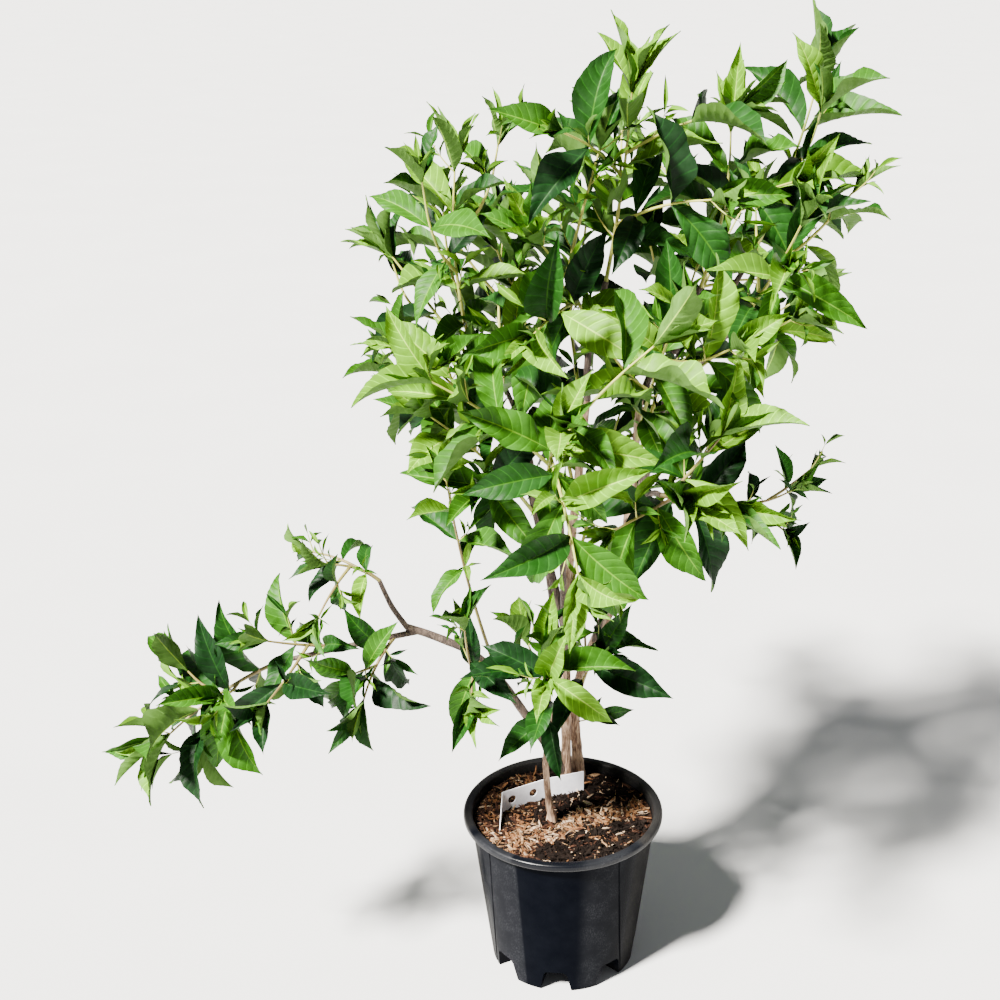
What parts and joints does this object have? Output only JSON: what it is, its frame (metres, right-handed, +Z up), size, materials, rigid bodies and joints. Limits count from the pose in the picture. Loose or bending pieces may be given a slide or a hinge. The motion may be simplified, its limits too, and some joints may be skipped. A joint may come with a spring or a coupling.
{
  "type": "potted weigela",
  "caption": "Leafy weigela shrub with woody stems in a black nursery pot of bark mulch, with a blank white plant tag.",
  "frame": {"origin": "centre of the pot's flat underside, on the ground plane", "axes": "+Z up the plant from the pot's underside, +X to the right as pictured, +Y away from the viewer"},
  "size_m": [0.9011, 0.7866, 1.1512],
  "materials": {
    "pot_plastic": "satin",
    "bark_mulch": "matte",
    "tag_plastic": "matte",
    "bark": "matte",
    "leaf_green": "satin"
  },
  "bodies": {
    "root": {"pot": "pot_plastic", "mulch": "bark_mulch", "plant_tag": "tag_plastic", "left_stem": "bark", "right_stem": "bark", "front_stem": "bark", "low_bough": "bark", "low_bough_arch": "bark", "low_bough_reach": "bark", "crown_bough_left": "bark", "crown_bough_middle": "bark", "crown_bough_right": "bark", "crown_bough_high": "bark", "crown_bough_far": "bark", "front_bough": "bark", "right_low_bough": "bark", "right_front_bough": "bark", "back_bough_left": "bark", "back_bough_right": "bark", "top_centre_shoots": "leaf_green", "top_middle_shoots": "leaf_green", "top_right_shoots": "leaf_green", "upper_right_shoots": "leaf_green", "upper_left_shoots": "leaf_green", "top_left_shoots": "leaf_green", "far_left_shoots": "leaf_green", "left_shoots": "leaf_green", "left_middle_shoots": "leaf_green", "left_low_shoots": "leaf_green", "front_shoots": "leaf_green", "right_front_shoots": "leaf_green", "right_under_shoots": "leaf_green", "centre_right_shoots": "leaf_green", "right_shoots": "leaf_green", "right_low_shoots": "leaf_green", "inner_left_shoots": "leaf_green", "inner_right_shoots": "leaf_green", "back_left_shoots": "leaf_green", "back_right_shoots": "leaf_green", "back_low_shoots": "leaf_green", "back_top_shoots": "leaf_green", "low_front_shoots": "leaf_green", "low_right_shoots": "leaf_green", "low_left_shoots": "leaf_green", "bough_near_shoots": "leaf_green", "bough_high_shoots": "leaf_green", "bough_middle_shoots": "leaf_green", "bough_end_shoots": "leaf_green"}
  },
  "joints": []
}
